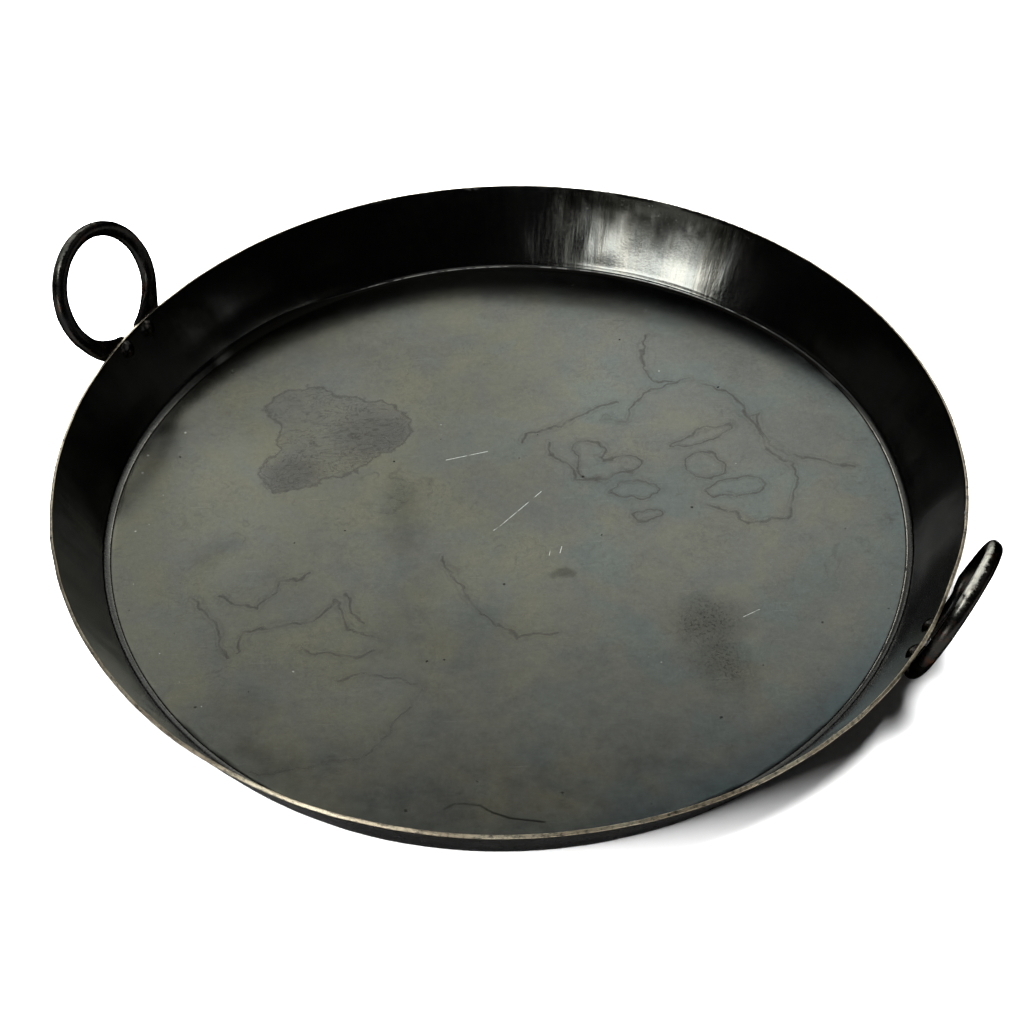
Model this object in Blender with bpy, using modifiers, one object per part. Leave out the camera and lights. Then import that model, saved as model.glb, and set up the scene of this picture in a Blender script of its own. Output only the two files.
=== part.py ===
"""Two-handled steel pan: one dished sheet, two ring handles and four rivets.

Metres, +Z up. The origin is the centre of the flat underside, and the pan
stands on the plane z = 0. The handles lie along the X axis, the right one
towards +X, and the front is towards -Y.
Run it with: blender --background --python part.py
"""

import math

import bmesh
import bpy
from mathutils import Matrix, Vector

# ---------------------------------------------------------------- dimensions
GAP = 0.0003  # clearance between neighbouring pieces

# Pan sheet
RIM_RADIUS = 0.250  # outer edge of the sheared rim
RIM_EDGE_Z = 0.0446  # height of that outer edge above the underside
SHEET = 0.0020  # sheet thickness, the same in floor and wall
BASE_CORNER_RADIUS = 0.22555  # where the wall's outer line meets the underside
BEND_INSIDE = 0.0040  # inside radius of the bend from floor to wall
BEND_STEPS = 6
FLOOR_LOOPS = (0.075, 0.150)  # radii of the extra edge loops across the floor
PAN_SEGMENTS = 112

# Ring handles, forged from round bar
BAR_RADIUS = 0.0043
RING_RADIUS = 0.0350  # centre line of the bar
RING_STATIONS = 46
RING_SIDES = 16
RING_SHARP_ANGLE = math.radians(50)  # edges sharper than this are not smoothed

# Each handle is bent by hand, so each has its own set of these:
# - rise: ring centre above the rim, measured up the wall's slope
# - lean: how much steeper than the wall the ring stands
# - offset: ring centre, measured outwards from the line of the wall
RIGHT_BEND = {"rise": 0.0293, "lean": math.radians(9.1), "offset": -0.0034}
LEFT_BEND = {"rise": 0.0297, "lean": math.radians(6.0), "offset": -0.0009}

# The two handles sit a little off a true diameter, both towards -Y
RIGHT_AZIMUTH = math.radians(-1.1)
LEFT_AZIMUTH = math.radians(181.1)

# Flattened feet at the ends of each bar; angles run from the ring's bottom
FOOT_HALF_WIDTH = 0.0064
FOOT_THICKNESS = 0.0035
FOOT_SPREAD = 0.0012  # the feet's middle line lies this far outside the ring's
FOOT_SQUARING = 0.35  # how far a foot's section goes from an ellipse to a box
FOOT_FULL_ANGLE = math.radians(36)  # fully flattened up to here
FOOT_FADE_ANGLE = math.radians(58)  # round bar from here on
FOOT_END_ANGLE = math.radians(6.0)  # each foot stops this far short of the middle
TIP_ANGLE = math.radians(9)  # stretch over which a foot narrows to its end
TIP_WIDTH = 0.62  # share of the foot's width left at its end

# Rivets
RIVET_SPACING = 0.0210
RIVET_BELOW_RIM = 0.0058  # down the wall's slope from the rim
SHANK_RADIUS = 0.0026
HOLE_RADIUS = SHANK_RADIUS + GAP
HOLE_CUTTER_LENGTH = 0.024
INNER_HEAD_RADIUS = 0.0050
INNER_HEAD_HEIGHT = 0.0022
OUTER_HEAD_RADIUS = 0.0046
OUTER_HEAD_HEIGHT = 0.0018
HEAD_STEPS = 5
RIVET_SEGMENTS = 20

# (x, z) unit vectors at azimuth 0: up the wall, and square to its outer face
SLOPE = math.atan2(RIM_EDGE_Z, RIM_RADIUS - BASE_CORNER_RADIUS)
ALONG = (math.cos(SLOPE), math.sin(SLOPE))
OUT = (math.sin(SLOPE), -math.cos(SLOPE))

for old in list(bpy.data.objects):
    bpy.data.objects.remove(old, do_unlink=True)


# --------------------------------------------------- collections and materials
def collection(name):
    made = bpy.data.collections.new(name)
    bpy.context.scene.collection.children.link(made)
    return made


def material(name, colour, roughness, metallic):
    made = bpy.data.materials.new(name)
    made.use_nodes = True
    shader = made.node_tree.nodes["Principled BSDF"]
    shader.inputs["Base Color"].default_value = (*colour, 1.0)
    shader.inputs["Roughness"].default_value = roughness
    shader.inputs["Metallic"].default_value = metallic
    return made


PARTS = collection("steel_pan")
CUTTERS = collection("cutters")

STEEL = material(
    "blued_steel_sheet", colour=(0.055, 0.058, 0.054), roughness=0.35, metallic=0.9
)
BAR = material(
    "forged_steel_bar", colour=(0.030, 0.030, 0.029), roughness=0.3, metallic=0.9
)
RIVET = material(
    "rivet_steel", colour=(0.045, 0.045, 0.043), roughness=0.35, metallic=0.9
)


# ------------------------------------------------------------------- helpers
def add_part(name, mesh, finish):
    made = bpy.data.objects.new(name, mesh)
    PARTS.objects.link(made)
    mesh.materials.append(finish)
    return made


def mesh_from(built, name):
    """A new mesh from a bmesh, which is then freed."""
    mesh = bpy.data.meshes.new(name)
    built.to_mesh(mesh)
    built.free()
    return mesh


def turned(name, profile, segments, finish):
    """A profile of (radius, height) points, both ends on the axis, turned about Z."""
    mesh = bpy.data.meshes.new(name)
    mesh.from_pydata(
        [(radius, 0.0, z) for radius, z in profile],
        [(i, i + 1) for i in range(len(profile) - 1)],
        [],
    )
    made = add_part(name, mesh, finish)
    screw = made.modifiers.new("turn", "SCREW")
    screw.axis = "Z"
    screw.steps = segments
    screw.render_steps = segments
    screw.use_merge_vertices = True
    screw.merge_threshold = 0.00001
    screw.use_smooth_shade = True
    return made


def arc(centre, radius, start, end, steps):
    """Points on a circle in the radial plane, from angle start to angle end."""
    angles = [start + (end - start) * i / steps for i in range(steps + 1)]
    return [
        (centre[0] + radius * math.cos(angle), centre[1] + radius * math.sin(angle))
        for angle in angles
    ]


def wall_point(across, along, out):
    """A place measured from the rim's outer edge at azimuth 0, as x, y, z."""
    return Vector(
        (
            RIM_RADIUS + along * ALONG[0] + out * OUT[0],
            across,
            RIM_EDGE_Z + along * ALONG[1] + out * OUT[1],
        )
    )


# ------------------------------------------------------------------ pan body
def pan_profile():
    """Floor top, inside bend, wall, rim, wall, outside bend, underside."""
    # the inner line of the wall is the outer one moved in by the sheet
    inner_rim = (RIM_RADIUS - SHEET * OUT[0], RIM_EDGE_Z - SHEET * OUT[1])
    wall_length = (inner_rim[1] - SHEET) / ALONG[1]
    inner_corner = inner_rim[0] - wall_length * ALONG[0]
    bend_outside = BEND_INSIDE + SHEET
    # each bend starts one tangent length short of its corner
    tangent = math.tan(SLOPE / 2)
    inner_start = inner_corner - BEND_INSIDE * tangent
    outer_start = BASE_CORNER_RADIUS - bend_outside * tangent
    down = -math.pi / 2
    return [
        (0.0, SHEET),
        *((radius, SHEET) for radius in FLOOR_LOOPS),
        *arc(
            (inner_start, SHEET + BEND_INSIDE),
            BEND_INSIDE, down, down + SLOPE, BEND_STEPS,
        ),
        inner_rim,
        (RIM_RADIUS, RIM_EDGE_Z),
        *arc(
            (outer_start, bend_outside),
            bend_outside, down + SLOPE, down, BEND_STEPS,
        ),
        *((radius, 0.0) for radius in reversed(FLOOR_LOOPS)),
        (0.0, 0.0),
    ]


# -------------------------------------------------------------- ring handles
def eased(value, low, high):
    """A smooth step from 0 at low to 1 at high."""
    t = min(max((value - low) / (high - low), 0.0), 1.0)
    return t * t * (3 - 2 * t)


def wall_fall(across):
    """How far the round wall has curved away, this far across from its middle."""
    return -OUT[0] * across * across / (2 * RIM_RADIUS)


def signed_power(value, power):
    return math.copysign(abs(value) ** power, value)


def handle_section(theta, bend):
    """One section of the bar, as (across, along, out) from the rim's edge.

    theta is the angle from the bottom of the ring, and the two feet are the
    two ends of the bar, flattened where they lie on the wall.
    """
    from_bottom = abs(theta)
    foot = 1.0 - eased(from_bottom, FOOT_FULL_ANGLE, FOOT_FADE_ANGLE)
    tip = eased(from_bottom, FOOT_END_ANGLE, FOOT_END_ANGLE + TIP_ANGLE)
    half_width = BAR_RADIUS + (FOOT_HALF_WIDTH - BAR_RADIUS) * foot
    half_width *= TIP_WIDTH + (1 - TIP_WIDTH) * math.sqrt(tip)
    half_depth = BAR_RADIUS + (FOOT_THICKNESS / 2 - BAR_RADIUS) * foot
    power = 1.0 - FOOT_SQUARING * foot  # below 1 squares the section off
    points = []
    for i in range(RING_SIDES):
        angle = 2 * math.pi * i / RING_SIDES
        wide = half_width * signed_power(math.cos(angle), power)
        deep = half_depth * signed_power(math.sin(angle), power)
        radius = RING_RADIUS + FOOT_SPREAD * foot + wide
        across = radius * math.sin(theta)
        along = bend["rise"] - radius * math.cos(theta)
        ring_out = bend["offset"] - math.tan(bend["lean"]) * (along - bend["rise"])
        foot_out = GAP + half_depth + wall_fall(across)
        out = ring_out * (1 - foot) + foot_out * foot + deep
        points.append((across, along, out))
    return points


def ring_handle(name, azimuth, bend):
    """The bar is lofted from one foot round the ring to the other."""
    built = bmesh.new()
    sections = []
    for i in range(RING_STATIONS + 1):
        theta = FOOT_END_ANGLE + (2 * math.pi - 2 * FOOT_END_ANGLE) * i / RING_STATIONS
        if theta > math.pi:
            theta -= 2 * math.pi
        sections.append(
            [built.verts.new(wall_point(*p)) for p in handle_section(theta, bend)]
        )
    for first, second in zip(sections, sections[1:]):
        for i in range(RING_SIDES):
            j = (i + 1) % RING_SIDES
            built.faces.new((first[i], first[j], second[j], second[i]))
    built.faces.new(sections[0])
    built.faces.new(sections[-1])
    bmesh.ops.recalc_face_normals(built, faces=built.faces)
    bmesh.ops.transform(
        built, matrix=Matrix.Rotation(azimuth, 4, "Z"), verts=built.verts
    )
    mesh = mesh_from(built, name)
    mesh.shade_smooth()
    mesh.set_sharp_from_angle(angle=RING_SHARP_ANGLE)
    return add_part(name, mesh, BAR)


# -------------------------------------------------------------------- rivets
def rivet_frame(azimuth, side):
    """The rivet's own frame: Z runs outwards, square to the sheet, from its
    outer face; the turn about the pan's axis keeps it square to the round wall."""
    turn = azimuth + side * (RIVET_SPACING / 2) / RIM_RADIUS
    outward = Vector((OUT[0], 0.0, OUT[1]))
    across = Vector((0.0, 1.0, 0.0))
    down_slope = across.cross(outward)
    axes = Matrix((down_slope, across, outward)).transposed().to_4x4()
    place = Matrix.Translation(wall_point(0.0, -RIVET_BELOW_RIM, 0.0))
    return Matrix.Rotation(turn, 4, "Z") @ place @ axes


def dome(radius, height, base, up):
    """Half of a low dome from its edge to its crown, on the plane z = base.

    up is 1 for a crown above the base and -1 for one below it.
    """
    ball = (radius * radius + height * height) / (2 * height)
    half = math.asin(radius / ball)
    angles = [half * (1 - i / HEAD_STEPS) for i in range(HEAD_STEPS + 1)]
    return [
        (
            ball * math.sin(angle),
            base + up * (ball * math.cos(angle) - (ball - height)),
        )
        for angle in angles
    ]


def rivet_profile():
    """Outer head, shank and inner head, from the outer crown to the inner one."""
    outer_seat = GAP + FOOT_THICKNESS + GAP
    inner_seat = -SHEET - GAP
    return [
        *reversed(dome(OUTER_HEAD_RADIUS, OUTER_HEAD_HEIGHT, outer_seat, up=1)),
        (SHANK_RADIUS, outer_seat),
        (SHANK_RADIUS, inner_seat),
        *dome(INNER_HEAD_RADIUS, INNER_HEAD_HEIGHT, inner_seat, up=-1),
    ]


def hole_cutter(name, frame):
    built = bmesh.new()
    bmesh.ops.create_cone(
        built,
        cap_ends=True,
        segments=RIVET_SEGMENTS,
        radius1=HOLE_RADIUS,
        radius2=HOLE_RADIUS,
        depth=HOLE_CUTTER_LENGTH,
    )
    made = bpy.data.objects.new(name, mesh_from(built, name))
    CUTTERS.objects.link(made)
    made.matrix_world = frame
    made.hide_render = True
    made.display_type = "WIRE"
    return made


def cut(target, cutter):
    drill = target.modifiers.new("drill_" + cutter.name, "BOOLEAN")
    drill.operation = "DIFFERENCE"
    drill.solver = "EXACT"
    drill.object = cutter


# ------------------------------------------------------------------ assembly
# Hand, azimuth, bend, and which way round the pan each rivet lies from the
# handle's middle: 1 is anticlockwise seen from above
HANDLES = (
    ("right", RIGHT_AZIMUTH, RIGHT_BEND, {"front": -1, "rear": 1}),
    ("left", LEFT_AZIMUTH, LEFT_BEND, {"front": 1, "rear": -1}),
)

pan = turned("pan_body", pan_profile(), PAN_SEGMENTS, STEEL)
for hand, azimuth, bend, rivet_sides in HANDLES:
    handle = ring_handle(hand + "_ring_handle", azimuth, bend)
    for place, side in rivet_sides.items():
        frame = rivet_frame(azimuth, side)
        rivet = turned(f"{hand}_{place}_rivet", rivet_profile(), RIVET_SEGMENTS, RIVET)
        rivet.matrix_world = frame
        cutter = hole_cutter(f"cut_{hand}_{place}", frame)
        cut(pan, cutter)
        cut(handle, cutter)
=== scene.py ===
"""Looks for the two-handled black steel pan: one dished sheet, two forged ring
handles and four rivets, on a plain pale floor in soft studio light.

Metres, +Z up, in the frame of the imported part. The pan stands on z = 0 with its
middle on the Z axis. Most features are given by their "shop azimuth", which is
the part's azimuth less TURN: seen from the camera, 0 is to the right and 90 is
away. Shop x and y point those ways.
"""

import math
import operator
from collections import namedtuple
from functools import reduce

import bmesh
import bpy
import numpy as np
from mathutils import Matrix, Vector


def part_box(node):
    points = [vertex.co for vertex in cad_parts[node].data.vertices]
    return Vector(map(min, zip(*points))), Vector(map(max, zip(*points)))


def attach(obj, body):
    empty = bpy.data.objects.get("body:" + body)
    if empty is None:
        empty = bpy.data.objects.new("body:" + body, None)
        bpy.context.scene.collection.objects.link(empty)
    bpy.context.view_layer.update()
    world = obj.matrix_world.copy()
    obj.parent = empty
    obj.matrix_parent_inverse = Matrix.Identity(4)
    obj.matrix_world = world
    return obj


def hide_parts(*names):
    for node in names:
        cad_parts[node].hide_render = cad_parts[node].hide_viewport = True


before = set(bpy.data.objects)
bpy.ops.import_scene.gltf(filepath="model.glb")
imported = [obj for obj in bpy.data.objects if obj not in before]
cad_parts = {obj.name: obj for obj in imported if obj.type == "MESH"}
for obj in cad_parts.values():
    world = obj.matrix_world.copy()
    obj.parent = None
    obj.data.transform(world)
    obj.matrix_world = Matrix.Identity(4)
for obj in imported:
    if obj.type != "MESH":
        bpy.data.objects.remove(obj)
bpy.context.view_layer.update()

MM = 0.001
TURN = math.radians(30.4)  # part azimuth = shop azimuth + TURN

# ---------------------------------------------------------------- driving sizes
pan_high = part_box("pan_body")[1]
SHEET = 2.0 * MM
RIM_RADIUS = pan_high.x
BASE_CORNER_RADIUS = 225.55 * MM
BEND_RADIUS = 6.0 * MM  # outside of the bend between underside and wall


def slope_of(rim_z):
    return math.atan2(rim_z, RIM_RADIUS - BASE_CORNER_RADIUS)


# RIM_Z is the outer edge of the rim. It depends on the slope, which depends on
# it, so it is worked out in two rounds.
RIM_Z = pan_high.z - SHEET * math.cos(slope_of(pan_high.z))
RIM_Z = pan_high.z - SHEET * math.cos(slope_of(RIM_Z))
SLOPE = slope_of(RIM_Z)
ALONG = (math.cos(SLOPE), math.sin(SLOPE))  # up the wall, as (radius, z)
OUT = (math.sin(SLOPE), -math.cos(SLOPE))  # square to the wall, as (radius, z)
FLOOR_Z = SHEET
INNER_RIM = (RIM_RADIUS - SHEET * OUT[0], RIM_Z - SHEET * OUT[1])
INNER_RUN = (INNER_RIM[1] - FLOOR_Z) / ALONG[1]  # length of the wall's inner face
INNER_CORNER = INNER_RIM[0] - INNER_RUN * ALONG[0]
OUTER_RUN = RIM_Z / ALONG[1]  # length of its outer face

# The rim isn't quite level over the floor, and the floor isn't quite under the
# rim's middle: both are ordinary on a pan dished by hand.
RIM_TILT = (-0.00736, 0.00333)  # rise of the rim per metre, in shop x and y
FLOOR_OFF = (-1.36 * MM, 0.14 * MM)  # floor's middle from the rim's, shop x and y


# -------------------------------------------------------------------- utilities
def eased(value, low, high):
    share = np.clip((np.asarray(value, float) - low) / (high - low), 0.0, 1.0)
    return share * share * (3 - 2 * share)


def lattice(grid_x, grid_y, grid_z, seed):
    """A repeatable value from -1 to 1 for each lattice point."""
    mixed = (
        grid_x.astype(np.int64) * 374761393
        + grid_y.astype(np.int64) * 668265263
        + grid_z.astype(np.int64) * 2147483647
        + seed * 1442695041
    ) & 0xFFFFFFFF
    mixed = ((mixed ^ (mixed >> 13)) * 1274126177) & 0xFFFFFFFF
    mixed = ((mixed ^ (mixed >> 16)) * 2246822519) & 0xFFFFFFFF
    mixed = mixed ^ (mixed >> 13)
    return (mixed & 0xFFFFFF) / float(0x7FFFFF) - 1.0


def noise3(x, y, z, seed):
    """Smooth value noise from -1 to 1, features about one unit across."""
    places = np.broadcast_arrays(*(np.asarray(v, float) for v in (x, y, z)))
    cell = [np.floor(v) for v in places]
    inside = [v - low for v, low in zip(places, cell)]
    inside = [t * t * t * (t * (t * 6 - 15) + 10) for t in inside]
    total = 0.0
    for i in (0, 1):
        for j in (0, 1):
            for k in (0, 1):
                weight = (
                    (inside[0] if i else 1 - inside[0])
                    * (inside[1] if j else 1 - inside[1])
                    * (inside[2] if k else 1 - inside[2])
                )
                total = total + weight * lattice(cell[0] + i, cell[1] + j, cell[2] + k, seed)
    return total


def round_curve(points, blur):
    """A smooth closed curve over 360 degrees through (degrees, value) points."""
    fine = np.arange(0.0, 360.0, 0.5)
    degrees = np.array([p[0] for p in points], float)
    values = np.array([p[1] for p in points], float)
    degrees = np.concatenate((degrees - 360, degrees, degrees + 360))
    table = np.interp(fine, degrees, np.concatenate((values, values, values)))
    offsets = np.arange(-4 * blur, 4 * blur + 0.25, 0.5)
    weight = np.exp(-0.5 * (offsets / blur) ** 2)
    weight /= weight.sum()
    padded = np.concatenate((table, table, table))
    table = np.convolve(padded, weight, mode="same")[len(table) : 2 * len(table)]

    def look_up(azimuth):
        wanted = np.degrees(np.asarray(azimuth, float)) % 360.0
        return np.interp(wanted, np.append(fine, 360.0), np.append(table, table[0]))

    return look_up


def shop_to_part(x, y):
    return (
        x * math.cos(TURN) - y * math.sin(TURN),
        x * math.sin(TURN) + y * math.cos(TURN),
    )


def link(name, data):
    made = bpy.data.objects.new(name, data)
    bpy.context.scene.collection.objects.link(made)
    return made


def strip(first, second, count):
    """Quads between two closed rings of vertices that start at these indices."""
    here = np.arange(count)
    after = (here + 1) % count
    return np.stack((first + here, first + after, second + after, second + here), -1).tolist()


def make_object(name, points, faces, sharp_degrees, attributes=None, frame=None):
    """A smooth object with outward normals and float attributes on its points."""
    mesh = bpy.data.meshes.new(name)
    mesh.from_pydata(points, [], faces)
    tidy = bmesh.new()
    tidy.from_mesh(mesh)
    bmesh.ops.recalc_face_normals(tidy, faces=tidy.faces)
    if frame is not None:
        tidy.transform(frame)
    tidy.to_mesh(mesh)
    tidy.free()
    for key, values in (attributes or {}).items():
        layer = mesh.attributes.new(key, "FLOAT", "POINT")
        layer.data.foreach_set("value", values.astype(np.float32))
    mesh.shade_smooth()
    mesh.set_sharp_from_angle(angle=math.radians(sharp_degrees))
    return link(name, mesh)


# ---------------------------------------------------------- shape of the pan body
# All curves are (shop azimuth in degrees, value).
# Dents of the rim in millimetres, outwards positive: the right handle has
# pulled the wall in, and the left one a little out.
RIM_DENT = round_curve(
    [
        (0, 0.0), (30, -0.2), (60, -0.25), (92, -0.05), (112, 0.1), (128, -0.5),
        (142, -0.35), (150, 0.55), (158, 0.35), (172, 0.2), (190, -0.1), (205, 0.1),
        (235, -0.1), (270, 0.0), (300, 0.25), (313, 0.3), (319, -0.2), (324, -1.0),
        (328, -1.15), (332, -1.4), (337, -2.3), (341, -1.9), (346, -1.1),
        (352, -0.4), (357, 0.0),
    ],
    blur=1.6,
)  # fmt: skip

# Wander of the wall's foot, in millimetres, outwards positive.
BEND_WANDER = round_curve(
    [
        (0, -0.7), (20, 0.35), (60, 0.1), (95, 0.1), (120, -0.6), (142, -0.55),
        (160, 0.9), (180, 0.15), (210, -0.4), (250, 0.0), (300, 0.45), (322, 0.1),
        (340, -0.55),
    ],
    blur=6.0,
)  # fmt: skip

# Where the wrinkles die down beside the handles' feet, from 0 to 1.
CALM = round_curve(
    [(0, 0), (140, 0), (146, 1), (156, 1), (162, 0), (317, 0), (323, 1), (334, 1), (340, 0)],
    blur=1.5,
)

# Rolling up the wall has drawn the floor's edge down here and there, millimetres.
FLOOR_SAG = round_curve(
    [
        (0, 0.0), (30, -0.1), (48, -1.0), (84, -1.1), (98, -0.1), (116, -0.45),
        (135, -0.35), (160, 0.0),
    ],
    blur=5.0,
)  # fmt: skip

# Where the wall starts at a sharp fold, from 0 to 1.
CREASED = round_curve([(0, 0), (9, 0), (31, 1), (106, 1), (131, 0), (180, 0)], blur=4.0)


def around_rim(azimuth):
    """Noise coordinates, about in millimetres, that close up round the pan."""
    return np.cos(azimuth) * 250, np.sin(azimuth) * 250


def wall_wrinkle(azimuth, climb):
    """Ripples and hammer marks of the wall, in metres outwards; climb runs from
    0 at the foot to 1 at the rim. They run up the wall, as a dished sheet puckers."""
    x, y = around_rim(azimuth)
    up = np.asarray(climb, float) * 50
    sway = 2.2 * noise3(x / 60, y / 60, up / 40, 5)
    x, y = x + sway * -np.sin(azimuth), y + sway * np.cos(azimuth)
    # (height in mm, size round the rim, size up the wall, seed)
    ripples, marks = (
        reduce(
            operator.add,
            [tall * noise3(x / wide, y / wide, up / long, seed) for tall, wide, long, seed in waves],
        )
        for waves in (
            ((0.34, 36, 60, 11), (0.26, 15, 46, 12), (0.055, 6.5, 26, 13), (0.022, 7.0, 7.0, 14)),
            ((0.050, 4.6, 5.0, 15), (0.020, 2.4, 2.6, 16)),
        )
    )
    # hammer marks just under the rim, strongest where the sheet was turned up
    marks = marks * eased(climb, 0.60, 0.80) * (1 - 0.75 * eased(climb, 0.93, 1.0))
    window = (0.25 + 0.75 * eased(climb, 0.0, 0.35)) * (1 - 0.35 * eased(climb, 0.75, 1.0))
    return (ripples * window + marks) * (1 - 0.8 * CALM(azimuth)) * MM


def wall_dent(azimuth, climb):
    """How far the dents push the wall out of its ideal cone, in metres."""
    return RIM_DENT(azimuth) * MM * eased(climb, 0.0, 1.0) ** 0.8


def bend_shift(azimuth, radius, z):
    """Radial wander of the wall's foot, fading into the floor and the wall."""
    fading = eased(radius, 0.192, 0.221) * (1 - eased(z, 0.006, 0.020))
    return BEND_WANDER(azimuth) * MM * fading


def floor_lift(x, y):
    """The floor is never quite flat: a few tenths of a millimetre, upwards."""
    wave = 0.5 + 0.5 * noise3(x / 0.085, y / 0.085, 0.3, 21)
    wave = wave * 0.22 + 0.05 * (0.5 + 0.5 * noise3(x / 0.03, y / 0.03, 0.7, 22))
    return wave * MM * (1 - eased(np.hypot(x, y), 0.120, 0.212))


def floor_sag(azimuth, radius, z):
    fading = eased(radius, 0.172, 0.211) * (1 - eased(z, 0.0021, 0.0048))
    return FLOOR_SAG(azimuth) * MM * fading


def crease(azimuth, radius, z):
    """At the back the band is pressed flat, so the wall starts at a sharp fold."""
    if not 0.2221 < radius < 0.2257:
        return 0.0
    rise = (radius - INNER_CORNER) * ALONG[1] / ALONG[0]
    return CREASED(azimuth) * (FLOOR_Z + max(0.0, rise) - z)


# One ring of the pan body: how many points, its ideal section, the direction in
# which the wall's wrinkles push it, climb up the wall (None on the flats), how
# far it follows the rim's tilt, its wear, and side (1 inside, 0.5 rim, 0 outside).
Ring = namedtuple("Ring", "count radius z normal climb follow wear side")

SEGMENTS = 864
UPWARD = (0.0, 1.0)
# (segments, radii in mm) of the flat rings, from the middle out
FLAT_RINGS = (
    (54, (4, 9, 15)),
    (108, (22, 30, 39)),
    (216, (49, 60, 72, 85, 98)),
    (432, (112, 126, 140, 154, 168, 181, 192)),
    (SEGMENTS, (201, 207, 212, 216, 219, 220.5)),
)
# (radius, height over the floor) in mm of the scored line at the floor's edge
SCORED_LINE = (
    (221.10, 0.00), (221.42, -0.03), (221.62, -0.24), (221.80, -0.30),
    (221.96, -0.10), (222.14, 0.16), (222.40, 0.26),
)  # fmt: skip
# the same for the band that climbs from there to the wall
ROLLED_BAND = (
    (223.1, 0.48), (223.9, 0.86), (224.6, 1.32), (225.05, 1.72), (225.22, 1.84),
    (225.38, 1.96), (225.58, 2.30),
)  # fmt: skip
# sheared rim: (place across the sheet from the inner face, drop down the wall), mm
SHEARED_RIM = (
    (0.02, 0.14), (0.12, 0.04), (0.32, 0.0), (1.0, 0.02), (1.68, 0.0),
    (1.86, 0.05), (1.97, 0.16),
)  # fmt: skip
BAND_TOP = 2.9 * MM  # height over the floor where the inner face starts
INNER_RIM_GAP, OUTER_RIM_GAP = 0.30 * MM, 0.32 * MM  # from each face's end to the rim
INNER_STEPS, OUTER_STEPS, BEND_STEPS = 25, 17, 6


def pan_sections():
    """Every ring of the pan body, from the middle of the floor over the rim to
    the middle of the underside."""

    def full(radius, z, climb=0.0, follow=0.0, wear=0.0, side=1.0, normal=OUT):
        return Ring(SEGMENTS, radius, z, normal, climb, follow, wear, side)

    def flats(z, side):
        return [
            Ring(count, radius * MM, z, UPWARD, None, 0.0, 0.0, side)
            for count, radii in FLAT_RINGS
            for radius in radii
        ]

    rings = flats(FLOOR_Z, 1.0)
    for radius, z in SCORED_LINE:
        rings.append(full(radius * MM, FLOOR_Z + z * MM, wear=0.12, normal=UPWARD))
    for radius, z in ROLLED_BAND:
        rings.append(full(radius * MM, FLOOR_Z + z * MM, follow=0.02, wear=0.05))
    # inner face of the wall
    foot = BAND_TOP / ALONG[1]
    for share in np.linspace(0.0, 1.0, INNER_STEPS):
        run = foot + (INNER_RUN - foot - INNER_RIM_GAP) * share
        climb = run / INNER_RUN
        wear = float(eased(climb, 0.975, 1.0)) * 0.5
        radius, z = INNER_CORNER + run * ALONG[0], FLOOR_Z + run * ALONG[1]
        rings.append(full(radius, z, climb, climb, wear))
    for across, drop in SHEARED_RIM:
        radius = INNER_RIM[0] + across * MM * OUT[0] - drop * MM * ALONG[0]
        z = INNER_RIM[1] + across * MM * OUT[1] - drop * MM * ALONG[1]
        rings.append(full(radius, z, 1.0, 1.0, 1.0, 0.5))
    # outer face of the wall, down to the outside of the bend
    bend = BEND_RADIUS * math.tan(SLOPE / 2)
    top = OUTER_RUN - OUTER_RIM_GAP
    for share in np.linspace(0.0, 1.0, OUTER_STEPS):
        run = top - (top - bend) * share
        climb = run / OUTER_RUN
        wear = float(eased(climb, 0.97, 1.0)) * 0.5
        radius, z = BASE_CORNER_RADIUS + run * ALONG[0], run * ALONG[1]
        rings.append(full(radius, z, climb, climb, wear, 0.0))
    for i in range(1, BEND_STEPS + 1):
        left = 1 - i / BEND_STEPS
        angle = -math.pi / 2 + SLOPE * left
        radius = BASE_CORNER_RADIUS - bend + BEND_RADIUS * math.cos(angle)
        z = BEND_RADIUS * (1 + math.sin(angle))
        rings.append(full(radius, z, side=0.0, normal=(OUT[0] * left, OUT[1] * left)))
    return rings + flats(0.0, 0.0)[::-1]


def ring_points(ring):
    """The ring's vertices in the part frame, with all its unevenness."""
    azimuth = 2 * np.pi * np.arange(ring.count) / ring.count - TURN
    radius = ring.radius + bend_shift(azimuth, ring.radius, ring.z)
    height = ring.z
    if ring.climb is not None:
        out = wall_dent(azimuth, ring.climb) + wall_wrinkle(azimuth, ring.climb)
        radius = radius + out * ring.normal[0]
        height = height + out * ring.normal[1]
    x, y = radius * np.cos(azimuth), radius * np.sin(azimuth)
    if ring.climb is None:
        height = height + floor_lift(x, y)
    x = x + FLOOR_OFF[0] * (1 - ring.follow)
    y = y + FLOOR_OFF[1] * (1 - ring.follow)
    height = height + ring.follow * (RIM_TILT[0] * x + RIM_TILT[1] * y)
    if ring.side == 1.0:
        shape = (azimuth, ring.radius, ring.z)
        height = height + (floor_sag(*shape) + crease(*shape))
    if ring.wear >= 1.0:  # the shear leaves the rim a little ragged
        rim_x, rim_y = around_rim(azimuth)
        ragged = 0.10 * noise3(rim_x / 9, rim_y / 9, ring.radius * 400, 31)
        ragged = ragged + 0.06 * noise3(rim_x / 3, rim_y / 3, ring.radius * 900, 32)
        height = height + ragged * MM
    return np.stack((*shop_to_part(x, y), height), -1)


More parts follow.
